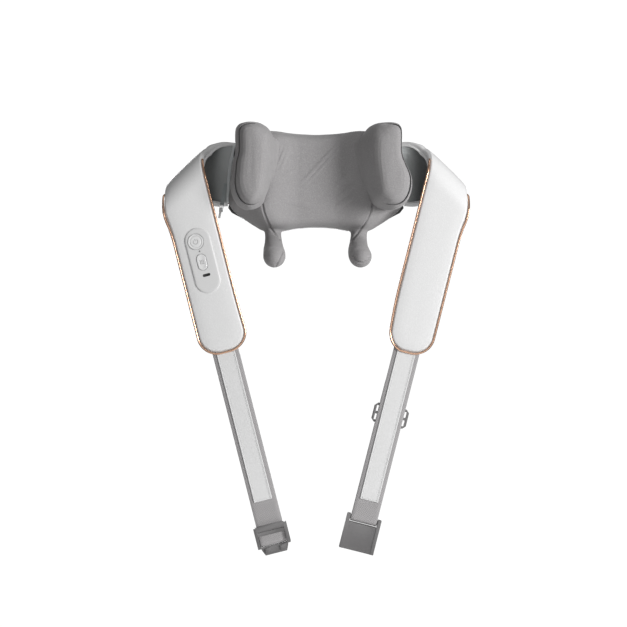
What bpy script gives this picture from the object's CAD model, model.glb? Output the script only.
"""The looks of a cordless shiatsu neck massager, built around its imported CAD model.

Shapes are worked out in millimetres in the row frame (+Z up, the neck side faces -Y, the origin is
the middle of the neck pad's front face) and turned into metres when a mesh is made. Both halves
come from one set of formulas: they are written for the right side and mirrored for the left.
"""

import math

import bmesh
import bpy
import numpy as np
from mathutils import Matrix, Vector


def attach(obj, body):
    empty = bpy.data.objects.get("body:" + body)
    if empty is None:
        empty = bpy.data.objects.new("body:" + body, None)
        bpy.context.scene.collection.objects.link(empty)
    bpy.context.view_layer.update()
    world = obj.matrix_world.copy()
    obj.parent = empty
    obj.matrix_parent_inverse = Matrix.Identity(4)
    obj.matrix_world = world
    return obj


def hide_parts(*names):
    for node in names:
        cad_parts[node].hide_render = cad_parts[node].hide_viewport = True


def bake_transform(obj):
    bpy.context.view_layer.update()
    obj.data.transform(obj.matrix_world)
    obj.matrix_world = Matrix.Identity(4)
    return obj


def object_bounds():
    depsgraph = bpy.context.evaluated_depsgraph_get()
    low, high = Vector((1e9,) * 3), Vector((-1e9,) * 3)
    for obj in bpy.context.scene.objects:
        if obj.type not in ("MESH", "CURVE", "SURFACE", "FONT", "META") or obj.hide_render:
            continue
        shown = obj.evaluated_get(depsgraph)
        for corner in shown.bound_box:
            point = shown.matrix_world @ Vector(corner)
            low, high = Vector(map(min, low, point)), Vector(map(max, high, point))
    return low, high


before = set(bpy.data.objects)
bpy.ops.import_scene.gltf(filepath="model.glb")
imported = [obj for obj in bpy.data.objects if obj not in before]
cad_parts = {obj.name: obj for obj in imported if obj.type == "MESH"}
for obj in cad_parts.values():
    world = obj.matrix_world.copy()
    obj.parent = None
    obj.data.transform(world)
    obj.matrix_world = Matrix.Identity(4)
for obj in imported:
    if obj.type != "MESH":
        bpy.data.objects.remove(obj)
CAD_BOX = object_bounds()

MM = 0.001
DEG = math.pi / 180
WELD = 0.002 * MM  # points nearer than this are one point
SIDES = ("left", "right")

# ---- Driving dimensions, as in the CAD model ----
STRAP = {"half": 29.0, "thick": 11.5, "front": -18.0, "tip_radius": 24.0}
TIP = np.array([119.8, -222.0])  # middle of the right strap's lower end, x and z
LEAN = 14.2 * DEG
CREASE = 44 * DEG
BEND = {"radius": 32.0, "tangent": 106.3}
SEAM = {"top": (109.0, 58.0), "bottom": (119.0, -26.0), "reach": (89.0, 131.0)}
PIPING = {"radius": 1.4, "inset": -1.9, "depth": 1.8}
BODY = {"rim": 25.0, "rear": 46.0, "rise": 28.0}
WEB = {"half": 17.5, "front": -13.0, "thick": 1.6, "back": -8.4, "top": 3.0}
TAIL = {
    "left": {"bar": 4.6, "bar_z": -257.4, "spread": -40.0, "end": -9.0},
    "right": {"bar": 3.0, "bar_z": -230.6, "spread": -134.0, "end": -45.0},
}
HOOK = {"half": 12.0, "front": -14.9, "rear": -14.1, "top": 0.5, "bottom": -204.0}
PANEL = {"x": 0.6, "z": 122.3, "half": 17.2, "long": 88.0}
POWER = {"x": -3.0, "z": 26.1, "radius": 10.3}
MODE = {"x": -1.3, "z": -2.0, "half": 6.2, "long": 21.5}
PORT = {"x": 0.4, "z": -19.8, "half": 4.8, "tall": 3.3}
LED = {"x": -0.9, "z": 12.7, "radius": 0.9}

# ---- Soft forms that only this script makes ----
FLARE = {"top": 9.0, "bottom": 23.0, "start": 0.6}  # how far the wing's edges bulge up and sag down
BELLY = {"out": 3.0, "reach": 20.0}  # how far the strap's outer edge bulges out at the fold
TAPER = {"left": -2.0, "right": 3.5, "reach": 42.0}  # how far each inner edge is drawn in at the tip
WELT = {"radius": 2.6, "depth": 13.0, "from_seam": 2.5, "bow": 10.0}  # the binding along the wing's seam
STUD = {"x": 10.0, "below_bar": 12.35, "half": 2.8}  # caps on the left buckle's tongue
CROWN = 0.8  # how far the strap's face is stuffed proud of the CAD face
LEANING = 0.11  # how far the knit's front sits to the right, as a share of its depth
# How far the knit rises beside the neck and falls back below the rolls, and where each of them happens:
# the distance from the middle, from the sewn line, and below the body's middle.
COVER = {"rise": 13.0, "beside": (22, 72), "fall": 24.0, "past_seam": (1, 50), "below": (22, 40)}
# Faces of the knit that the back cover hides: how much they face the rear, and where they lie.
FLAT_BACK = {"facing": 0.6, "behind": 24, "above": -54}
# Where the piping sinks into the pad past the fold, and where it comes out again behind.
SUNK = {"start": 26, "gone": 38, "seen": 84, "back": 86, "out": 100}
BUTTON_GAP = 0.75  # the dark line round each button
SHELL_FIT = 0.94  # width of the front shell beside the CAD one, so that the cover's corners clear it
# Right half of the body's soft outline, x and z, from the top middle clockwise.
SOFT_OUTLINE = [
    (0, 68.1), (32.8, 70.0), (58, 73.4), (84, 70.5), (103, 60), (112, 24), (118.3, -17),
    (115, -32), (105, -41.5), (89, -52.5), (70, -62.6), (49.2, -62.9), (24.6, -58.8), (0, -57.5),
]
# Face of the right roll, x and z, from its outer top corner clockwise.
ROLL_OUTLINE = [
    (98, 74), (103.5, 71.2), (106.3, 63.5), (106.4, 38), (111, 21), (115.3, 2), (113.8, -14),
    (107, -27), (96.5, -33), (83, -33), (73, -28.6), (68, -16), (64, 1), (60.2, 20), (58, 40),
    (59.3, 57.5), (62.4, 66.8), (68.5, 73.4), (77, 76.8), (88, 76),
]
ROLL_SQUASH = {"left": -3.5, "right": 3.5}  # how far each one's lower outer side is pushed outwards
# Inset from the outline, and y, from the rear edge to the middle of the front face. The outer side
# is a boxed edge with a seam at y -44; the inner side rolls over without one.
ROLL_OUTER = [
    (7, 8), (3, 4), (-1, -2), (-3.1, -10), (-3.5, -18), (-3.1, -28), (-1.9, -36), (-0.6, -41),
    (0.4, -43), (1.0, -42.6), (1.7, -39.4), (2.3, -42.8), (2.9, -45.4), (4.2, -49), (6.8, -52.2),
    (11, -54.2), (16, -55.1), (22, -55.4),
]
ROLL_INNER = [
    (7, 8), (3.5, 4), (1.0, -2), (0.2, -8), (0.0, -15), (0.6, -22), (1.8, -29), (3.2, -34.5),
    (4.8, -39.5), (6.6, -43.5), (8.8, -47), (11.6, -50), (15, -52.6), (19, -54.4), (24, -55.4),
]
# Beside the neck the inner side runs out into the panel.
ROLL_VALLEY = [
    (-11, -2), (-9, -6.5), (-6.2, -9.5), (-3.8, -13), (-1.9, -17.5), (-0.5, -22), (0.9, -27), (2.4, -31.5),
    (4.2, -36.5), (6.2, -41), (8.6, -45.4), (11.4, -49.2), (15, -52.2), (19, -54.4), (24, -55.4),
]
# Thumb centreline: x, y, z and radius, starting inside the body.
THUMB = [
    (60, 16, -42, 11.5), (58.5, 19, -58, 11.4), (57.6, 19.5, -67, 11), (57, 16, -77, 11.8),
    (56.5, 7, -87, 13.6), (56.5, -4, -94.5, 14.8), (57, -14, -98.5, 14.4), (57.5, -22, -99, 9.8),
]
# The sewn line from the roll's lower end to the thumb, x and z.
COVER_SEAM = [(73, -28), (70, -41), (64, -54), (57, -64), (48, -74)]
# Short sewn lines on the tips of the thumbs, x and z.
THUMB_SEAMS = [
    [(-44, -88), (-48, -97), (-52, -105), (-58, -114)],
    [(45.5, -97), (50, -104), (57, -106.5), (64, -104.5), (68, -100)],
]
DRAG_HEIGHT = 3.2
# Drag lines in the stretched knit: start x, z, end x, z, share of the height, and width.
DRAG_LINES = [
    (34, 58, -24, -4, 0.50, 1.8),
    (40, 57, -19, -7, 0.42, 1.6),
    (-40, 52, -52, 22, 0.50, 1.8),
    (-35, 53, -50, 12, 0.40, 1.8),
    (-46, 50, -54, 32, 0.36, 1.6),
    (-50, 8, -24, 18, 0.34, 2.6),
    (-54, -6, -8, 2, 0.34, 3.0),
    (-50, -22, 10, -34, 0.38, 3.0),
    (50, 20, 18, -12, 0.40, 2.6),
    (54, 4, 26, -24, 0.40, 2.6),
    (52, -14, 22, -36, 0.34, 2.8),
    (46, 40, 36, 10, 0.36, 2.2),
]

# ---- Light ----
FILL = 0.18  # the room's light on the object
BACKDROP = 1.05  # the room's white, as the camera sees it


# ---- Numbers ----
def lerp(a, b, t):
    return a + (b - a) * t


def smooth_step(value, low, high):
    t = np.clip((value - low) / (high - low), 0, 1)
    return t * t * (3 - 2 * t)


def catmull(points, per_span, closed=False):
    """A smooth curve through the points."""
    points = np.array(points, float)
    count = len(points)
    if closed:
        padded = np.vstack([points[-1:], points, points[:2]])
    else:
        padded = np.vstack([points[:1], points, points[-1:]])
    spans = count if closed else count - 1
    steps = np.arange(per_span)[:, None] / per_span
    curve = []
    for i in range(spans):
        p0, p1, p2, p3 = padded[i : i + 4]
        slope = (p2 - p0) * steps
        curve.append(
            p1 + 0.5 * (slope + (2 * p0 - 5 * p1 + 4 * p2 - p3) * steps**2
                        + (3 * p1 - p0 - 3 * p2 + p3) * steps**3)
        )
    if not closed:
        curve.append(points[-1:])
    return np.vstack(curve)


def evenly(curve, step, closed=False):
    """The same curve with its points the same distance apart."""
    curve = np.array(curve, float)
    if closed:
        curve = np.vstack([curve, curve[:1]])
    lengths = np.concatenate([[0], np.cumsum(np.linalg.norm(np.diff(curve, axis=0), axis=1))])
    count = max(3, round(lengths[-1] / step))
    at = np.linspace(0, lengths[-1], count + 1)
    if closed:
        at = at[:-1]
    return np.stack([np.interp(at, lengths, column) for column in curve.T], axis=1)


def sided(side, points):
    """Points of the right half, moved to the wanted side."""
    return np.array(points, float) * ((-1, 1, 1) if side == "left" else (1, 1, 1))


# ---- Meshes ----
def tidy(obj):
    """Merges doubled points, drops empty faces, turns faces outwards and shades them smooth."""
    bm = bmesh.new()
    bm.from_mesh(obj.data)
    bmesh.ops.remove_doubles(bm, verts=bm.verts, dist=WELD)
    bmesh.ops.dissolve_degenerate(bm, edges=bm.edges, dist=WELD)
    bmesh.ops.recalc_face_normals(bm, faces=bm.faces)
    for face in bm.faces:
        face.smooth = True
    bm.to_mesh(obj.data)
    bm.free()
    return obj


def linked(name, data):
    """A new object in the scene."""
    obj = bpy.data.objects.new(name, data)
    bpy.context.scene.collection.objects.link(obj)
    return obj


def make(name, parts, material):
    """One mesh object from a list of (points in mm, faces)."""
    points = np.vstack([part_points for part_points, _ in parts])
    faces = []
    count = 0
    for part_points, part_faces in parts:
        faces += [tuple(i + count for i in face) for face in part_faces]
        count += len(part_points)
    mesh = bpy.data.meshes.new(name)
    mesh.from_pydata((points * MM).tolist(), [], faces)
    mesh.materials.append(material)
    return tidy(linked(name, mesh))


def loft(rings):
    """A skin over closed rings of points, with a fan over each end."""
    rings = np.asarray(rings, float)
    rows, columns = rings.shape[:2]
    faces = []
    for a in range(0, (rows - 1) * columns, columns):
        for i in range(columns):
            j = (i + 1) % columns
            faces.append((a + i, a + j, a + columns + j, a + columns + i))
    points = np.vstack([rings.reshape(-1, 3), rings[0].mean(0), rings[-1].mean(0)])
    last = (rows - 1) * columns
    for i in range(columns):
        j = (i + 1) % columns
        faces.append((rows * columns, j, i))
        faces.append((rows * columns + 1, last + i, last + j))
    return points, faces


def tube(path, radius, sides, flat=1.0, upright=(0, 1, 0)):
    """A round bar along a path. Flat below 1 squeezes it along the first side direction."""
    path = np.asarray(path, float)
    ways = np.roll(path, -1, 0) - np.roll(path, 1, 0)
    ways[0] = path[1] - path[0]
    ways[-1] = path[-1] - path[-2]
    ways /= np.linalg.norm(ways, axis=1)[:, None]
    radii = np.broadcast_to(radius, len(path))
    side = np.array(upright, float)
    firsts = []
    for way in ways:
        side = side - way * (side @ way)
        side /= np.linalg.norm(side)
        firsts.append(side)
    firsts = np.array(firsts)
    seconds = np.cross(ways, firsts)
    angles = np.arange(sides) / sides * 2 * math.pi
    rings = (
        path[:, None]
        + radii[:, None, None] * flat * np.cos(angles)[None, :, None] * firsts[:, None]
        + radii[:, None, None] * np.sin(angles)[None, :, None] * seconds[:, None]
    )
    return loft(rings)


def stitches(path, length, gap, radius):
    """A row of thread stitches that lie along a path and bow towards the front."""
    path = np.asarray(path, float)
    steps = np.concatenate([[0], np.cumsum(np.linalg.norm(np.diff(path, axis=0), axis=1))])
    parts = []
    start = gap / 2
    while start + length < steps[-1]:
        at = start + length * np.array([0, 0.25, 0.5, 0.75, 1])
        spine = np.stack([np.interp(at, steps, column) for column in path.T], axis=1)
        spine[:, 1] += radius / 0.35 * np.array([0.25, -0.05, -0.15, -0.05, 0.25])
        parts.append(tube(spine, radius * np.array([0.35, 0.9, 1, 0.9, 0.35]), 6, upright=(0.3, 1, 0.2)))
        start += length + gap
    return parts


def modified(obj, kind, **values):
    """Adds one modifier and applies it."""
    modifier = obj.modifiers.new(kind.lower(), kind)
    for name, value in values.items():
        setattr(modifier, name, value)
    graph = bpy.context.evaluated_depsgraph_get()
    mesh = bpy.data.meshes.new_from_object(obj.evaluated_get(graph))
    obj.modifiers.clear()
    obj.data = mesh
    for polygon in mesh.polygons:
        polygon.use_smooth = True


def sculpted(obj, change):
    """Moves every point to change(points in mm, normals)."""
    points = obj.data.vertices
    co, normals = np.zeros((2, len(points) * 3))
    points.foreach_get("co", co)
    points.foreach_get("normal", normals)
    moved = change(co.reshape(-1, 3) / MM, normals.reshape(-1, 3))
    points.foreach_set("co", (moved * MM).ravel())
    obj.data.update()


def to_segment(x, z, x0, z0, x1, z1):
    """Distance to a segment, and how far along it the nearest point is."""
    way = np.array([x1 - x0, z1 - z0])
    share = np.clip(((x - x0) * way[0] + (z - z0) * way[1]) / (way @ way), 0, 1)
    return np.hypot(x - x0 - share * way[0], z - z0 - share * way[1]), share


def refined(node, name, material, width):
    """A copy of a CAD node's solid with rounded edges."""
    obj = linked(name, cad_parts[node].data.copy())
    obj.data.materials.clear()
    obj.data.materials.append(material)
    bm = bmesh.new()
    bm.from_mesh(obj.data)
    bmesh.ops.remove_doubles(bm, verts=bm.verts, dist=WELD)
    bmesh.ops.dissolve_limit(bm, angle_limit=1.5 * DEG, verts=bm.verts, edges=bm.edges)
    bm.to_mesh(obj.data)
    bm.free()
    modified(obj, "BEVEL", width=width * MM, segments=3, limit_method="ANGLE",
             angle_limit=30 * DEG, use_clamp_overlap=True)
    obj.data.set_sharp_from_angle(angle=40 * DEG)
    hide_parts(node)
    return obj


# ---- Materials ----
def set_sockets(node, values):
    """Sets input sockets by their names in plain lower case with underscores."""
    named = {socket.name.lower().replace(" ", "_"): socket for socket in node.inputs if socket.enabled}
    for name, value in values.items():
        named[name].default_value = value


def add(material, kind, sockets=None, **settings):
    """A new shader node in a material or the world."""
    node = material.node_tree.nodes.new("ShaderNode" + kind)
    for key, value in settings.items():
        setattr(node, key, value)
    set_sockets(node, sockets or {})
    return node


def join_up(material, output, socket):
    material.node_tree.links.new(output, socket)


def calc(material, operation, *values):
    """One Math node; the values are numbers or sockets."""
    node = add(material, "Math", operation=operation)
    for socket, value in zip(node.inputs, values):
        if isinstance(value, (int, float)):
            socket.default_value = value
        else:
            join_up(material, value, socket)
    return node.outputs[0]


def bands(material, spot, direction, pitch):
    """Rounded ridges a pitch apart in metres; direction is a unit vector."""
    dot = add(material, "VectorMath", operation="DOT_PRODUCT")
    join_up(material, spot, dot.inputs[0])
    dot.inputs[1].default_value = direction
    turn = calc(material, "MULTIPLY", dot.outputs["Value"], 2 * math.pi / pitch)
    return calc(material, "MULTIPLY_ADD", calc(material, "SINE", turn), 0.5, 0.5)


def weave(pitch, slant=0.0):
    """Warp and weft ridges that cross."""
    def height(material, spot):
        warp = bands(material, spot, (math.cos(slant), 0, math.sin(slant)), pitch)
        weft = bands(material, spot, (-math.sin(slant), 0.35, math.cos(slant)), pitch)
        return calc(material, "MULTIPLY", calc(material, "ADD", warp, 0.5), calc(material, "ADD", weft, 0.5))
    return height


def grain(size, kind="cells"):
    """Pebbled leather or moulded grain."""
    def height(material, spot):
        if kind == "cells":
            node = add(material, "TexVoronoi", {"scale": 1 / size, "smoothness": 0.6}, feature="SMOOTH_F1")
            out = node.outputs["Distance"]
        else:
            node = add(material, "TexNoise", {"scale": 1 / size, "detail": 3.0})
            out = node.outputs["Fac"]
        join_up(material, spot, node.inputs["Vector"])
        return out
    return height


def surface(name, low, high, roughness, height, depth, cloud=0.06, **sockets):
    """A material whose pattern drives colour from low to high, relief and, a little, roughness.

    Low and high are linear grey levels or colours, and depth is the relief in metres.
    """
    material = bpy.data.materials.new(name)
    material.use_nodes = True
    shader = material.node_tree.nodes["Principled BSDF"]
    set_sockets(shader, sockets)
    spot = add(material, "TexCoord").outputs["Object"]
    pattern = height(material, spot)
    cloudy = add(material, "TexNoise", {"scale": 1 / 0.03, "detail": 4.0})
    join_up(material, spot, cloudy.inputs["Vector"])
    mix = add(material, "Mix", data_type="RGBA")
    mix.inputs[6].default_value = colour(low)
    mix.inputs[7].default_value = colour(high)
    join_up(material, pattern, mix.inputs[0])
    shade = add(material, "HueSaturation")
    lift = calc(material, "MULTIPLY_ADD", cloudy.outputs["Fac"], 2 * cloud, 1 - cloud)
    join_up(material, lift, shade.inputs["Value"])
    join_up(material, mix.outputs[2], shade.inputs["Color"])
    join_up(material, shade.outputs[0], shader.inputs["Base Color"])
    rough = calc(material, "MULTIPLY_ADD", cloudy.outputs["Fac"], 0.12, roughness - 0.06)
    join_up(material, rough, shader.inputs["Roughness"])
    bump = add(material, "Bump", {"strength": 1.0, "distance": depth})
    join_up(material, pattern, bump.inputs["Height"])
    join_up(material, bump.outputs[0], shader.inputs["Normal"])
    return material


def colour(value):
    if isinstance(value, (int, float)):
        return (value, value, value, 1)
    return (*value, 1)


def warm(level, warmth=0.02):
    """A grey of that linear level with a trace of warmth."""
    return (level * (1 + warmth), level * (1 - warmth / 2), level)


FINE_GRAIN = grain(0.0005, "noise")
LEATHER = surface("leatherette", 0.68, 0.76, 0.42, grain(0.0011), 0.00007, cloud=0.02,
                  coat_weight=0.12, coat_roughness=0.35, specular_ior_level=0.45)
BINDING = surface("seam binding", (0.66, 0.69, 0.695), (0.74, 0.77, 0.775), 0.5, grain(0.0010), 0.00007)
KNIT = surface("stretch knit", warm(0.25), warm(0.35), 0.85, grain(0.0012), 0.00014, cloud=0.05,
               sheen_weight=0.2, sheen_roughness=0.5)
LINING = surface("satin lining", (0.42, 0.44, 0.44), (0.50, 0.52, 0.52), 0.42, weave(0.0009, 0.8),
                 0.00008, cloud=0.08, sheen_weight=0.2, sheen_roughness=0.3)
COPPER = surface("copper piping", (0.58, 0.34, 0.22), (0.70, 0.45, 0.32), 0.24, grain(0.0006, "noise"),
                 0.00001, cloud=0.05, metallic=1.0, coat_weight=0.6, coat_roughness=0.15)
WEBBING = surface("twill webbing", warm(0.2), warm(0.38), 0.85, weave(0.0022, 0.55), 0.00012, cloud=0.05,
                  sheen_weight=0.15)
HOOKS = surface("hook tape", 0.64, 0.76, 0.75, grain(0.0011), 0.00015, cloud=0.02)
THREAD = surface("thread", 0.5, 0.66, 0.7, weave(0.0005, 0.8), 0.00008, cloud=0.04)
BUCKLE = surface("satin dark plastic", warm(0.125), warm(0.16), 0.36, grain(0.0004, "noise"), 0.00002,
                 cloud=0.05, specular_ior_level=0.6)
PANEL_PLASTIC = surface("panel plastic", 0.62, 0.68, 0.38, FINE_GRAIN, 0.00001, cloud=0.02)
BUTTON_PLASTIC = surface("button plastic", 0.66, 0.72, 0.3, FINE_GRAIN, 0.00001, cloud=0.02,
                         coat_weight=0.2)
ICON = surface("icon ink", 0.22, 0.27, 0.5, FINE_GRAIN, 0.00001)
BLACK = surface("black plastic", 0.012, 0.02, 0.5, grain(0.0004, "noise"), 0.00002)
STEEL = surface("brushed steel", 0.42, 0.55, 0.3, grain(0.0006, "noise"), 0.00002, metallic=1.0)
ACETAL = surface("acetal", (0.74, 0.72, 0.64), (0.8, 0.78, 0.7), 0.4, grain(0.0008, "noise"), 0.00001)
HOUSING = surface("housing plastic", 0.06, 0.08, 0.55, grain(0.0007), 0.00003)
BATTERY = surface("battery wrap", (0.05, 0.18, 0.42), (0.07, 0.22, 0.5), 0.35, grain(0.003, "noise"), 0.00002)
BOARD = surface("circuit board", (0.02, 0.13, 0.06), (0.05, 0.2, 0.09), 0.5, weave(0.0022, 0.78), 0.00003)
FILM = surface("heating film", (0.42, 0.2, 0.07), (0.5, 0.26, 0.1), 0.45, weave(0.006), 0.00005)
ZIP_CLOTH = surface("zip tape", (0.28, 0.31, 0.315), (0.36, 0.39, 0.395), 0.85, weave(0.0009, 0.78), 0.0001)
PULL = surface("zip pull plastic", 0.55, 0.62, 0.4, FINE_GRAIN, 0.00001)


def shade_by(material, value):
    """Multiplies the brightness of the base colour by a socket's value."""
    base = material.node_tree.nodes["Principled BSDF"].inputs["Base Color"]
    shade = add(material, "HueSaturation")
    join_up(material, value, shade.inputs["Value"])
    join_up(material, base.links[0].from_socket, shade.inputs["Color"])
    join_up(material, shade.outputs[0], base)


def darker_in_fold(material):
    """Deepens the lining's dye everywhere but on the wing beside the body. The limits are in metres."""
    place = add(material, "SeparateXYZ")
    join_up(material, add(material, "TexCoord").outputs["Object"], place.inputs[0])
    near = add(material, "MapRange", {"from_min": 0.143, "from_max": 0.116}, interpolation_type="SMOOTHSTEP")
    join_up(material, calc(material, "ABSOLUTE", place.outputs["X"]), near.inputs["Value"])
    wing = add(material, "MapRange", {"from_min": 0.015, "from_max": 0.031}, interpolation_type="SMOOTHSTEP")
    join_up(material, place.outputs["Y"], wing.inputs["Value"])
    lit = calc(material, "MULTIPLY", near.outputs[0], wing.outputs[0])
    shade_by(material, calc(material, "MULTIPLY_ADD", lit, 0.8, 0.2))


def darker_in_creases(material):
    """Darkens the base colour where nearby surfaces close in."""
    hollow = add(material, "AmbientOcclusion", {"distance": 0.035}, samples=8)
    value = add(material, "MapRange", {"from_min": 0.25, "from_max": 0.9, "to_min": 0.5, "to_max": 1.0})
    join_up(material, hollow.outputs["AO"], value.inputs["Value"])
    shade_by(material, value.outputs[0])


darker_in_fold(LINING)
darker_in_creases(KNIT)

NODE_MATERIALS = {
    "battery_cell_lower": BATTERY, "battery_cell_upper": BATTERY, "battery_tray": HOUSING,
    "back_shell": HOUSING, "front_shell": HOUSING, "control_board": BOARD, "button_board": BOARD,
    "heating_film": FILM, "usb_port": BLACK, "zip_tape": ZIP_CLOTH,
    **{f"{side}_{part}": ACETAL for side in SIDES for part in ("worm_wheel", "arm_bush")},
    **{f"{side}_roll_core": HOUSING for side in SIDES},
    "right_buckle_bar": BUCKLE,
}


def finish_cad_nodes():
    """Every CAD node that still shows gets a worked material; the rest of the metal is steel."""
    for name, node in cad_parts.items():
        if node.hide_render:
            continue
        node.data.materials.clear()
        node.data.materials.append(NODE_MATERIALS.get(name, STEEL))


# ---- Strap geometry, for the right side ----
ALONG = np.array([math.sin(LEAN), math.cos(LEAN)])
ACROSS = np.array([math.cos(LEAN), -math.sin(LEAN)])
FOLD = np.array([-math.cos(CREASE), math.sin(CREASE)])
INWARD = np.array([-math.sin(CREASE), -math.cos(CREASE)])


def hung(x, y, z):
    """A point of the strap's own frame: x across, y depth, z up from the tip."""
    x, y, z = np.broadcast_arrays(x, y, z)
    flat = TIP + x[..., None] * ACROSS + z[..., None] * ALONG
    return np.stack([flat[..., 0], y.astype(float), flat[..., 1]], axis=-1)


def fold_height(x):
    """How far up the strap the fold line is, at x across."""
    return (-BEND["tangent"] - TIP @ INWARD - x * (ACROSS @ INWARD)) / (ALONG @ INWARD)


def wing_reach(x):
    """How far past the fold line the seam on the body is, at x across."""
    return lerp(*SEAM["reach"], (x + STRAP["half"]) / (2 * STRAP["half"]))


def strap_end(x):
    """How far up the strap, laid out flat, its seam on the body is."""
    return fold_height(x) + wing_reach(x) / -(ALONG @ INWARD)


def strap_point(side, x, s, depth):
    """A point of a strap: x across, s along it laid out flat, depth into the pad."""
    x, s, depth = (np.asarray(v, float) for v in np.broadcast_arrays(x, s, depth))
    near_fold = np.exp(-(((s - fold_height(x)) / BELLY["reach"]) ** 2))
    near_tip = np.exp(-((s / TAPER["reach"]) ** 2))
    bulged = x + BELLY["out"] * near_fold * np.maximum(0, x / STRAP["half"]) ** 2
    bulged = bulged - TAPER[side] * near_tip * np.minimum(0, x / STRAP["half"])
    front = hung(bulged, STRAP["front"] + depth, s)
    wrap = np.maximum(0, (s - fold_height(x)) * -(ALONG @ INWARD))
    along_fold = TIP @ FOLD + s * (ALONG @ FOLD) + bulged * (ACROSS @ FOLD)
    turn = np.minimum(wrap / BEND["radius"], math.pi)
    r = BEND["radius"] - depth
    past = np.maximum(0, wrap - math.pi * BEND["radius"])
    level = -BEND["tangent"] - r * np.sin(turn) + past + (bulged - x) * (ACROSS @ INWARD)
    flat = along_fold[..., None] * FOLD + level[..., None] * INWARD
    y = STRAP["front"] + BEND["radius"] - r * np.cos(turn)
    rolled = np.stack([flat[..., 0], y, flat[..., 1]], axis=-1)
    share = ((x + STRAP["half"]) / (2 * STRAP["half"]))[..., None]
    sewn = lerp(np.array(SEAM["top"]), np.array(SEAM["bottom"]), share)
    seam = np.stack([sewn[..., 0] + 1, STRAP["front"] + 2 * BEND["radius"] - depth, sewn[..., 1]], axis=-1)
    turned = wrap / wing_reach(x)
    near = smooth_step(turned, FLARE["start"], 1)[..., None]
    flare = np.sin(math.pi * np.clip((turned - FLARE["start"]) / (1 - FLARE["start"]), 0, 1))[..., None]
    rolled = rolled + flare * (FLARE["top"] * (1 - share) ** 2 - FLARE["bottom"] * share**2) * (0, 0, 1)
    return np.where(wrap[..., None] > 0, lerp(rolled, seam, near), front)


def strap_outline(step, until=1.0):
    """The strap's edge laid out flat, from the seam down, round the tip and up again.

    Returns the edge points and, for each, the point of the middle line that it faces.
    """
    half, r = STRAP["half"], STRAP["tip_radius"]
    count = round(until * strap_end(0) / step)
    rise = np.linspace(until, 0, count)[:-1]
    low = half + 1.0

    def straight(x):
        return np.stack([np.full(len(rise), x), lerp(r, strap_end(x), rise)], axis=1)

    middle = np.stack([np.zeros(len(rise)), lerp(low, strap_end(0), rise)], axis=1)
    angles = np.linspace(math.pi, 1.5 * math.pi, 13)
    corner = np.stack([r - half + r * np.cos(angles), r + r * np.sin(angles)], axis=1)
    other = (corner * (-1, 1))[::-1]
    edge = np.vstack([straight(-half), corner, other, straight(half)[::-1]])
    tip_middle = np.tile([0.0, low], (2 * len(corner), 1))
    return edge, np.vstack([middle, tip_middle, middle[::-1]])


def strap_grid(side, profile):
    """Points over the strap's profile, a list of (inset from the edge, depth)."""
    edge, middle = strap_outline(3.0)
    rows = []
    for inset, depth in profile:
        flat = lerp(edge, middle, inset / STRAP["half"])
        ripple = 0.16 * math.exp(-max(inset, 0) / 5) * np.sin(2 * math.pi * edge[:, 1] / 11)
        rows.append(strap_point(side, flat[:, 0], flat[:, 1], depth + (ripple if depth < 3 else 0)))
    return np.array(rows)


def strap_shell(side, profile):
    """A closed pad from a profile that runs from the front's middle line to the rear's."""
    grid = strap_grid(side, profile)
    rows, columns = grid.shape[:2]
    faces = []
    for row in range(rows - 1):
        for i in range(columns - 1):
            a = row * columns + i
            faces.append((a, a + 1, a + columns + 1, a + columns))
    for a in range(0, (rows - 1) * columns, columns):  # the end at the seam on the body
        faces.append((a, a + columns, a + 2 * columns - 1, a + columns - 1))
    return grid.reshape(-1, 3), faces


def face_depth(inset):
    return 0.6 - (CROWN + 0.6) * (1 - (1 - inset / STRAP["half"]) ** 4)


FACE_PROFILE = (
    [(inset, face_depth(inset)) for inset in (29, 24, 19, 14, 10, 7, 4.5, 2.6, 1.4)]
    + [(0.7, 1.3), (0.3, 2.2), (-0.6, 3.3), (-1.2, 4.6), (-1.0, 6.2), (0, 7.6), (1.4, 8.7)]
    + [(2.0, 9.1), (1.4, 9.5), (0.7, 10.3), (0.6, 11.2), (1.1, 12.1), (1.9, 12.4)]
    + [(2.6, 12.1), (3.0, 11.2), (3.2, 10.2), (8, 9.6), (16, 9.4), (29, 9.4)]
)
LINING_PROFILE = (
    [(29, 9.5), (16, 9.5), (8, 9.7), (3.6, 10.3), (3.0, 11.0), (3.4, 11.6)]
    + [(5.5, 11.7), (9, 12.0), (15, 12.3), (22, 12.4), (29, 12.4)]
)


def bend_strap(obj):
    """Follows the body behind the shoulder and the strap in front of it, turning over the fold."""
    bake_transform(obj)


def strap_pieces(side):
    points, faces = strap_shell(side, FACE_PROFILE)
    skin = make(f"{side}_strap_skin", [(sided(side, points), faces)], LEATHER)
    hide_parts(f"{side}_strap", f"{side}_shoulder_wing")
    points, faces = strap_shell(side, LINING_PROFILE)
    lining = make(f"{side}_strap_lining", [(sided(side, points), faces)], LINING)
    cord = make(f"{side}_piping", piping(side), COPPER)
    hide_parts(f"{side}_strap_piping", f"{side}_wing_piping")
    for obj, slot in ((skin, "leatherette"), (lining, "knit"), (cord, "piping")):
        bend_strap(obj)
    x = np.linspace(2 - STRAP["half"], STRAP["half"] - 2, 30)
    bow = WELT["bow"] * np.cos(x / STRAP["half"] * math.pi / 2)
    line = strap_point(side, x, strap_end(x) - WELT["from_seam"] - bow, WELT["depth"])
    binding = make(f"{side}_seam_binding", [tube(sided(side, line), WELT["radius"], 12)], BINDING)
    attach(binding, "body")


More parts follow.
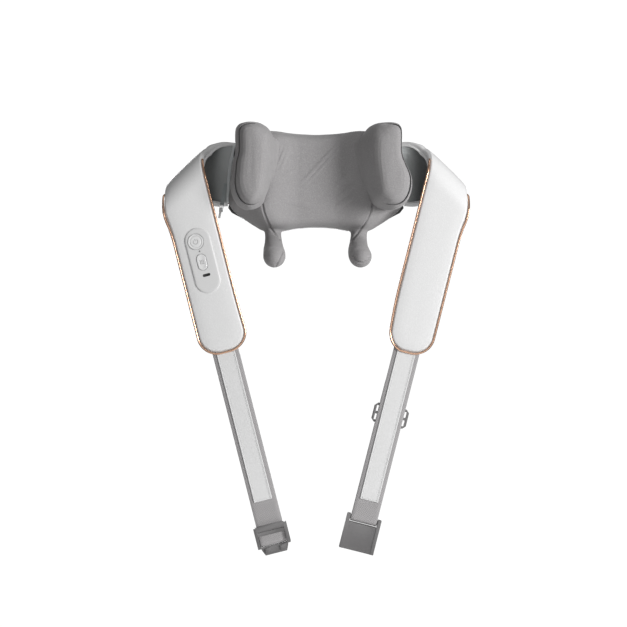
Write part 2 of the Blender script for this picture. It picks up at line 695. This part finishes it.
def piping(side):
    """One cord round the strap's front, and one up the wing's edge and across behind it."""
    edge, middle = strap_outline(2.5, until=0.93)
    past = edge[:, 1] - fold_height(edge[:, 0])
    tucked = smooth_step(past, 28, 52)
    sunk = smooth_step(past, SUNK["start"], SUNK["gone"]) * (1 - smooth_step(past, SUNK["back"], SUNK["out"]))
    inset = lerp(PIPING["inset"], 1.8, tucked)[:, None] + 3 * sunk[:, None]
    flat = lerp(edge, middle, inset / STRAP["half"])
    path = strap_point(side, flat[:, 0], flat[:, 1], lerp(PIPING["depth"], -0.4, tucked) + 5 * sunk)
    x = np.linspace(STRAP["half"] - 2, 2 - STRAP["half"], 14)
    s = lerp(fold_height(x), strap_end(x), 0.955)
    behind = strap_point(side, x, s, 0) + (0, PIPING["radius"] + 0.4, 0)
    front = path[past < SUNK["gone"]]
    rear = np.vstack([path[(edge[:, 0] > 0) & (past > SUNK["seen"])], behind])
    return [tube(sided(side, evenly(catmull(run, 3), 1.6)), PIPING["radius"], 12) for run in (front, rear)]


# ---- Body cover ----
def whole_outline(right_half, step):
    """A closed outline from its right half, clockwise from the top middle."""
    right = list(right_half)
    left = [(-x, z) for x, z in right[1:-1]][::-1]
    return evenly(catmull(right + left, 8, closed=True), step, closed=True)


def scaled_ring(outline, scale, y):
    return np.stack([outline[:, 0] * scale, np.full(len(outline), y), outline[:, 1] * scale], axis=1)


def worn_in(points):
    """Leans the front of the soft forms to one side."""
    points = np.array(points, float)
    points[..., 0] += LEANING * np.maximum(0, 6 - points[..., 1])
    return points


def seam_side(x, z):
    """How far a point lies outside the sewn line between the neck panel and the side panel."""
    (x0, z0), (x1, z1) = COVER_SEAM[0], COVER_SEAM[-1]
    way = np.array([x1 - x0, z1 - z0]) / math.hypot(x1 - x0, z1 - z0)
    return (np.abs(x) - x0) * -way[1] + (z - z0) * way[0]


def cover_front(x, z, share):
    """Depth of the knit cover's face; share is 1 on its rim and 0 in the middle."""
    edge = share**14
    rise = COVER["rise"] * smooth_step(np.abs(x), *COVER["beside"]) * (1 - edge)
    falling = smooth_step(seam_side(x, z), *COVER["past_seam"]) * smooth_step(-z, *COVER["below"])
    return BODY["rim"] * edge + (COVER["fall"] * falling - rise * (1 - 0.8 * falling)) * (1 - edge)


def cover_form():
    outline = whole_outline(SOFT_OUTLINE, 2.5)
    shares = 1 - np.linspace(0, 1, 46)[:-1] ** 1.6
    rings = [scaled_ring(outline, k, BODY["rim"] + behind) for k, behind in ((0.96, 1.2), (0.995, 0.6))]
    for share in shares:
        x, z = outline.T * share
        rings.append(np.stack([x, cover_front(x, z, share), z], axis=1))
    return loft(rings)


def thumb_form(sign):
    line = evenly(catmull(THUMB, 8), 1.5)
    ways = np.gradient(line[:, 1:3], axis=0)
    ways /= np.linalg.norm(ways, axis=1)[:, None]
    angles = np.arange(40) / 40 * 2 * math.pi
    rings = []
    for (x, y, z, r), (wy, wz) in zip(line, ways):
        rings.append(np.stack([
            sign * x + r * np.cos(angles), y - r * np.sin(angles) * wz, z + r * np.sin(angles) * wy,
        ], axis=1))
    tip_step = np.array([0, *ways[-1]]) * line[-1, 3] / 4
    for share in (0.75, 0.4):
        ring = rings[-1].mean(0) + (rings[-1] - rings[-1].mean(0)) * share
        rings.append(ring + tip_step)
    return loft(rings)


def to_line(x, z, points):
    """Distance to a curve through the points."""
    curve = catmull(points, 6)
    spans = zip(curve[:-1], curve[1:])
    return np.min([to_segment(x, z, *start, *end)[0] for start, end in spans], axis=0)


def stretched(points, normals):
    """Drag lines in the neck panel, and the grooves of its sewn lines."""
    x, y, z = points.T
    facing = smooth_step(-normals[:, 1], 0.2, 0.7)
    height = np.zeros(len(points))
    for x0, z0, x1, z1, share_of_height, width in DRAG_LINES:
        distance, share = to_segment(x, z, x0, z0, x1, z1)
        ends = np.sin(math.pi * np.clip(share, 0.02, 0.98))
        ridge = np.exp(-((distance / width) ** 2)) - 0.5 * np.exp(-((distance / width * 2) ** 2))
        height += DRAG_HEIGHT * share_of_height * ends * ridge
    height *= facing
    distance = to_line(np.abs(x), z, COVER_SEAM)
    height -= 1.7 * np.exp(-((distance / 1.1) ** 2)) * smooth_step(-normals[:, 1], 0.0, 0.4)
    height += 0.25 * np.exp(-(((distance - 2.6) / 1.2) ** 2)) * facing
    tip = facing * smooth_step(-y, 4, 12)
    for line in THUMB_SEAMS:
        height -= 1.8 * np.exp(-((to_line(x, z, line) / 0.9) ** 2)) * tip
    return worn_in(points + normals * height[:, None])


def cover_pieces():
    """The knit cover with its thumbs, as one stretched skin in two halves that meet in the middle."""
    whole = make("knit_cover", [cover_form(), thumb_form(1), thumb_form(-1)], KNIT)
    modified(whole, "REMESH", mode="VOXEL", voxel_size=1.7 * MM)
    modified(whole, "SMOOTH", factor=0.5, iterations=9)
    modified(whole, "SUBSURF", levels=1)
    sculpted(whole, stretched)
    for side in SIDES:
        half = linked(f"{side}_knit_cover", whole.data.copy())
        open_half(half, side)
        modified(half, "SOLIDIFY", thickness=2 * MM, offset=-1)
        half.data.set_sharp_from_angle(angle=60 * DEG)
        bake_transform(half)
        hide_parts("neck_pad", f"{side}_thumb_pad")
    bpy.data.objects.remove(whole)


def open_half(obj, side):
    """Keeps one side's half of a mesh, without the flat back that the back cover hides."""
    bm = bmesh.new()
    bm.from_mesh(obj.data)
    everything = bm.verts[:] + bm.edges[:] + bm.faces[:]
    bmesh.ops.bisect_plane(bm, geom=everything, plane_co=(0, 0, 0), plane_no=(1, 0, 0),
                           clear_inner=side == "right", clear_outer=side == "left")
    back = [
        f for f in bm.faces
        if f.normal.y > FLAT_BACK["facing"] and min(v.co.y for v in f.verts) > FLAT_BACK["behind"] * MM
        and f.verts[0].co.z > FLAT_BACK["above"] * MM
    ]
    bmesh.ops.delete(bm, geom=back, context="FACES")
    bm.to_mesh(obj.data)
    bm.free()


# ---- Rolls ----
def spread(profile, count):
    """A profile with more points, the same number between each two of its own."""
    own = np.linspace(0, 1, len(profile))
    at = np.linspace(0, 1, count)
    return np.stack([np.interp(at, own, column) for column in np.array(profile, float).T], axis=1)


def roll_rings(side):
    outline = evenly(catmull(ROLL_OUTLINE, 8, closed=True), 1.8, closed=True)
    low_outer = smooth_step(30 - outline[:, 1], 0, 28) * smooth_step(outline[:, 0], 80, 110)
    outline[:, 0] += ROLL_SQUASH[side] * low_outer
    centre = (outline.max(0) + outline.min(0)) / 2
    half = (outline.max(0) - outline.min(0)) / 2
    x, z = ((outline - centre) / half).T
    boxed = smooth_step(x, -0.6, 0.35)[:, None]
    facing_neck = (smooth_step(-x, 0.45, 0.9) * (1 - smooth_step(np.abs(z), 0.5, 0.85)))[:, None]
    count = 96
    outer = spread(ROLL_OUTER, count)
    inner = spread(ROLL_INNER, count)
    valley = spread(ROLL_VALLEY, count)
    rings = []
    for k in range(count):
        inset, y = lerp(lerp(inner[k], valley[k], facing_neck), outer[k], boxed).T
        flat = centre + (outline - centre) * (1 - inset[:, None] / half)
        rings.append(np.stack([flat[:, 0], y, flat[:, 1]], axis=1))
    front = rings[-1]
    middle = front.mean(0)
    for share in (0.75, 0.5, 0.25):
        ring = middle + (front - middle) * share
        ring[:, 1] -= 0.5 * (1 - share)
        rings.append(ring)
    return worn_in(sided(side, rings))


def roll_pieces(side):
    roll = make(f"{side}_roll_cover", [loft(roll_rings(side))], KNIT)
    modified(roll, "SMOOTH", factor=0.4, iterations=1)
    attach(roll, f"{side}_arm")
    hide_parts(f"{side}_roll_pad")


# ---- Back cover ----
def back_pieces():
    outline = whole_outline(SOFT_OUTLINE, 3.0) * 0.985
    rings = [(1.0, BODY["rim"] - 1.0), (1.004, 30), (1.004, 38), (1.0, 43), (0.992, 46)]
    rings += [
        (math.cos(a) ** 0.9, BODY["rear"] + BODY["rise"] * math.sin(a) ** 1.05)
        for a in np.linspace(0.12, math.pi / 2 - 0.03, 26)
    ]
    skin = [scaled_ring(outline, k, y) for k, y in rings]
    points, faces = loft(skin)
    count = len(outline)
    faces = [f for f in faces if len(skin) * count not in f]
    cover = make("back_cover_skin", [(points, faces)], LEATHER)

    def panelled(co, normals):
        x, y, z = co.T
        seam = np.abs(np.abs(x) - 58 - 0.0035 * z**2)
        rear = smooth_step(y, 46, 52)
        height = -1.0 * np.exp(-((seam / 1.2) ** 2))
        height += 0.5 * np.exp(-(((seam - 3.4) / 1.8) ** 2))
        height += 0.12 * np.sin(z * 2 * math.pi / 9) * np.exp(-seam / 5)
        return co + normals * (height * rear)[:, None]

    modified(cover, "SUBSURF", levels=1)
    sculpted(cover, panelled)
    modified(cover, "SOLIDIFY", thickness=2 * MM, offset=-1)
    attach(cover, "body")
    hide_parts("back_cover")


# ---- Webbing tails ----
def ribbon(path, half, thick, side):
    """A flat strip along a path of (y, z) in the strap's own frame, with rounded edges."""
    path = np.array(path, float)
    ways = np.gradient(path, axis=0)
    ways /= np.linalg.norm(ways, axis=1)[:, None]
    normals = np.stack([-ways[:, 1], ways[:, 0]], axis=1)
    face = np.linspace(-half + 0.5, half - 0.5, 9)
    section = [(x, thick / 2) for x in face] + [(half, 0.3 * thick), (half, -0.3 * thick)]
    section += [(x, -thick / 2) for x in face[::-1]] + [(-half, -0.3 * thick), (-half, 0.3 * thick)]
    section = np.array(section)
    rings = []
    for (y, z), (ny, nz) in zip(path, normals):
        rings.append(hung(section[:, 0], y + section[:, 1] * ny, z + section[:, 1] * nz))
    return loft(sided(side, rings))


def tail_path(tail):
    """Down in front, round the bar and up behind, as (y, z)."""
    r = tail["bar"] + 0.3 + WEB["thick"] / 2
    centre = WEB["front"] + r
    drop = r + 0.25
    turn = [
        (centre - r * math.cos(a), tail["bar_z"] - drop * math.sin(a))
        for a in np.linspace(0, math.pi, 17)
    ]
    down = [(WEB["front"], z) for z in np.linspace(WEB["top"], tail["bar_z"] + 2, 70)]
    slope = [
        (lerp(centre + r, WEB["back"], t), lerp(tail["bar_z"], tail["spread"], t))
        for t in np.linspace(0.02, 1, 30)
    ]
    up = [(WEB["back"], z) for z in np.linspace(tail["spread"], tail["end"], 30)[1:]]
    return down + turn + slope + up


def hook_strip(side):
    """Hook tape with a raised selvedge down each side."""
    half, front, rear = HOOK["half"], HOOK["front"], HOOK["rear"]
    section = [(-half, rear), (-half - 0.3, front + 0.3), (-half + 0.2, front - 0.35),
               (-half + 1.1, front - 0.35), (-half + 1.6, front), (0, front - 0.05)]
    section += [(-x, y) for x, y in section[:-1]][::-1]
    section = np.array(section)
    inner = np.linspace(HOOK["top"] - 0.8, HOOK["bottom"] + 0.8, 60)
    stations = np.concatenate([[HOOK["top"]], inner, [HOOK["bottom"]]])
    rings = []
    for i, z in enumerate(stations):
        pinch = 0.35 if i in (0, len(stations) - 1) else 0
        rings.append(hung(section[:, 0], section[:, 1] + pinch * (section[:, 1] < -14.5), z))
    return loft(sided(side, rings))


def tail_pieces(side):
    skin = ribbon(tail_path(TAIL[side]), WEB["half"], WEB["thick"], side)
    web = make(f"{side}_webbing_strap", [skin], WEBBING)
    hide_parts(f"{side}_webbing")
    strip = make(f"{side}_hook_tape", [hook_strip(side)], HOOKS)
    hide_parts(f"{side}_hook_strip")
    y = HOOK["front"] - 0.12
    x = HOOK["half"] - 2.3
    low, high = HOOK["bottom"] + 1.6, HOOK["top"] - 1.6
    rows = [hung(sign * x, y, np.array([low, high])) for sign in (-1, 1)]
    rows += [hung(np.array([-x, x]), y, z) for z in (low, high)]
    sewn = [part for row in rows for part in stitches(sided(side, row), 1.7, 0.9, 0.22)]
    below = hung(np.array([-13, 13]), WEB["front"] - 0.85, low - 5)
    sewn += stitches(sided(side, below), 1.8, 0.9, 0.25)
    thread = make(f"{side}_tail_stitching", sewn, THREAD)
    web.data.set_sharp_from_angle(angle=40 * DEG)
    strip.data.set_sharp_from_angle(angle=25 * DEG)
    start, end = (sided(side, hung(0, WEB["front"], z)) * MM for z in (1.0, -16.0))
    for obj in (web, strip, thread):
        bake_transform(obj)


def buckle_pieces():
    looks = {
        "left_buckle_frame": (BUCKLE, 0.6, "left_buckle", "buckle_plastic"),
        "left_buckle_bar": (BUCKLE, 0.4, "left_buckle", "buckle_plastic"),
        "right_buckle_sleeve": (BUCKLE, 0.6, "right_buckle", "buckle_plastic"),
        "strap_slider": (BUCKLE, 0.6, "strap_slider", "buckle_plastic"),
        "zip_slider": (STEEL, 0.35, "zip_slider", "steel"),
        "zip_pull": (PULL, 0.3, "zip_pull", "pull_plastic"),
    }
    for node, (material, width, body, slot) in looks.items():
        obj = refined(node, f"{node}_rounded", material, width)
        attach(obj, body)


def front_shell_piece():
    """The housing's front, a little smaller than in the CAD model, so that the cover's corners clear it."""
    shell = refined("front_shell", "front_shell_rounded", HOUSING, 0.6)
    sculpted(shell, lambda co, normals: co * (SHELL_FIT, 1, SHELL_FIT))
    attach(shell, "body")


def stud_caps():
    """Pale square caps on the two studs of the left buckle's tongue."""
    angles = (np.arange(32) + 0.5) / 32 * 2 * math.pi
    square = [np.sign(wave) * np.abs(wave) ** 0.35 for wave in (np.cos(angles), np.sin(angles))]
    z = TAIL["left"]["bar_z"] - STUD["below_bar"]
    steps = ((0, -11.4), (0, -12.0), (0.3, -12.25), (1.6, -12.3))
    parts = []
    for x in (-STUD["x"], STUD["x"]):
        halves = [(STUD["half"] - inset, y) for inset, y in steps]
        parts.append(loft([sided("left", hung(x + r * square[0], y, z + r * square[1])) for r, y in halves]))
    caps = make("left_buckle_stud_caps", parts, PULL)
    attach(caps, "left_buckle")


# ---- Control panel, on the left strap ----
def stadium_ring(x, z, half, long, inset, y, count=64, lying=False):
    """A slot-shaped ring in the left strap's frame, set in from its outline."""
    r = half - inset
    straight = long / 2 - half
    angles = np.arange(count) / count * 2 * math.pi
    across = r * np.cos(angles)
    up = np.where(np.sin(angles) >= 0, straight, -straight) + r * np.sin(angles)
    if lying:
        across, up = -up, -across
    return sided("left", hung(-(x + across), y, z + up))


def round_ring(x, z, radius, y, count=64):
    return stadium_ring(x, z, radius, 2 * radius, 0, y, count)


def button(name, outline, profile, body):
    """A moulded cap from (inset, y) steps over an outline function."""
    obj = make(name, [loft([outline(inset, y) for inset, y in profile])], BUTTON_PLASTIC)
    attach(obj, body)
    return obj


def control_pieces():
    px, pz = PANEL["x"], PANEL["z"]

    def panel_ring(inset, y):
        return stadium_ring(px, pz, PANEL["half"], PANEL["long"], inset, y, 96)

    profile = [(0.3, -17.2), (0, -17.8), (0, -18.6), (0.25, -19.3), (0.8, -19.8), (1.7, -20.05),
               (3.2, -20.1), (6, -20.1), (10, -20.1)]
    panel = make("control_panel_face", [loft([panel_ring(inset, y) for inset, y in profile])], PANEL_PLASTIC)
    power, mode, port, led = ((px + item["x"], pz + item["z"]) for item in (POWER, MODE, PORT, LED))

    def power_ring(inset, y):
        return round_ring(*power, POWER["radius"] - inset, y)

    def mode_ring(inset, y):
        return stadium_ring(*mode, MODE["half"], MODE["long"], inset, y)

    def port_ring(inset, y):
        return stadium_ring(*port, PORT["tall"] / 2, 2 * PORT["half"], inset, y, 40, lying=True)

    wells = [
        make("power_well", [loft([power_ring(-BUTTON_GAP, y) for y in (-18.88, -21)])], ICON),
        make("mode_well", [loft([mode_ring(-BUTTON_GAP, y) for y in (-18.88, -21)])], ICON),
        make("port_well", [loft([port_ring(-0.3, y) for y in (-17.9, -21)])], ICON),
        make("led_well", [loft([round_ring(*led, LED["radius"] + 0.3, y, 24) for y in (-19.2, -21)])], ICON),
    ]
    for well in wells:
        modified(panel, "BOOLEAN", operation="DIFFERENCE", solver="EXACT", object=well)
        bpy.data.objects.remove(well)
    panel.data.set_sharp_from_angle(angle=35 * DEG)
    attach(panel, "left_strap")
    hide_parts("control_panel")

    rim = [(1, -19.8), (0.1, -19.85), (0, -20.1), (0.2, -20.4), (0.7, -20.55)]
    grooved = [(2.0, -20.55), (2.3, -20.25), (2.8, -20.2), (3.1, -20.45), (4.5, -20.5), (7, -20.42),
               (9, -20.38)]
    knob = button("power_button_cap", power_ring, rim + grooved, "power_button")
    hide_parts("power_button")
    dished = [(1.6, -20.5), (3, -20.36), (5, -20.3)]
    knob = button("mode_button_cap", mode_ring, rim + dished, "mode_button")
    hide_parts("mode_button")

    dome = [(0.8, -19.25), (0.9, -19.8), (0.8, -20.15), (0.5, -20.32), (0.15, -20.36)]
    lens = make("led_lens", [loft([round_ring(*led, r, y, 24) for r, y in dome])], ICON)
    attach(lens, "left_strap")
    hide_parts("indicator_led")
    mouth = [(-0.1, -18.0), (-0.1, -19.9), (0.15, -20.0), (0.3, -19.6), (0.5, -19.5)]
    slot_wall = make("port_shell", [loft([port_ring(inset, y) for inset, y in mouth])], BLACK)
    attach(slot_wall, "left_strap")
    icons(power, mode)


def icons(power, mode):
    """Generic marks: a broken ring with a bar, and three heat waves."""
    def raised(name, lines, y, body, radius):
        parts = []
        for line in lines:
            line = np.array(line, float)
            path = sided("left", hung(-line[:, 0], y, line[:, 1]))
            parts.append(tube(path, radius, 8, flat=0.35))
        obj = make(name, parts, ICON)
        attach(obj, body)

    x, z = power
    angles = np.linspace(90 + 40, 450 - 40, 28) * DEG
    arc = [(x + 3.1 * math.cos(a), z + 3.1 * math.sin(a)) for a in angles]
    raised("power_icon", [arc, [(x, z + 3.9), (x, z + 2.2), (x, z + 0.6)]], -20.42, "power_button", 0.32)
    x, z = mode
    waves = []
    for k in (-1, 0, 1):
        rise = np.linspace(-3, 3, 20)
        waves.append([(x + 1.9 * k + 0.5 * math.sin(v * 2 * math.pi / 4), z + v) for v in rise])
    raised("heat_icon", waves, -20.36, "mode_button", 0.26)


# ---- Stage ----
def stage():
    """A pale round plinth, well below the hanging tails."""
    radius = 600
    low = CAD_BOX[0].z / MM - 400
    angles = np.arange(96) / 96 * 2 * math.pi
    ring = np.stack([np.cos(angles), np.sin(angles)], axis=1)
    profile = [(radius - 6, low - 40), (radius, low - 34), (radius, low - 6), (radius - 6, low)]
    rings = [np.column_stack([ring * r, np.full(len(ring), z)]) for r, z in profile]
    paint = surface("pale floor", 0.84, 0.88, 0.7, grain(0.02, "noise"), 0.00002, cloud=0.01,
                    emission_color=(1, 1, 1, 1), emission_strength=0.5)
    make("floor", [loft(rings)], paint)


def area_light(name, place, target, size, power):
    light = bpy.data.lights.new(name, "AREA")
    light.size = size
    light.energy = power
    obj = linked(name, light)
    obj.location = place
    obj.rotation_euler = (Vector(target) - Vector(place)).to_track_quat("-Z", "Y").to_euler()


def studio():
    world = bpy.data.worlds.new("studio")
    bpy.context.scene.world = world
    world.use_nodes = True
    world.node_tree.nodes.clear()
    mix = add(world, "MixShader")
    join_up(world, add(world, "LightPath").outputs["Is Camera Ray"], mix.inputs[0])
    for socket, strength in ((1, FILL), (2, BACKDROP)):
        background = add(world, "Background", {"color": (1, 1, 1, 1), "strength": strength})
        join_up(world, background.outputs[0], mix.inputs[socket])
    join_up(world, mix.outputs[0], add(world, "OutputWorld").inputs["Surface"])
    area_light("key", (1.9, -1.5, 0.2), (0, 0, -0.15), 0.8, 56)
    area_light("front", (0.2, -2.6, -0.3), (0, 0, -0.2), 1.3, 12)
    area_light("top", (0.6, -0.6, 1.7), (0, 0, -0.1), 1.1, 5)
    area_light("back", (-0.5, 2.4, 0.2), (0, 0, -0.2), 1.4, 26)
    bpy.context.scene.view_settings.view_transform = "Standard"


def camera():
    lens = bpy.data.cameras.new("camera")
    lens.lens = 78.5
    lens.sensor_width = 36
    view = linked("camera", lens)
    view.location = (-0.0033, -1.818, -0.173)
    view.rotation_euler = (90 * DEG, 0, 0)
    bpy.context.scene.camera = view


camera()
stage()
studio()
cover_pieces()
back_pieces()
for side in SIDES:
    strap_pieces(side)
    roll_pieces(side)
    tail_pieces(side)
front_shell_piece()
buckle_pieces()
stud_caps()
control_pieces()
finish_cad_nodes()
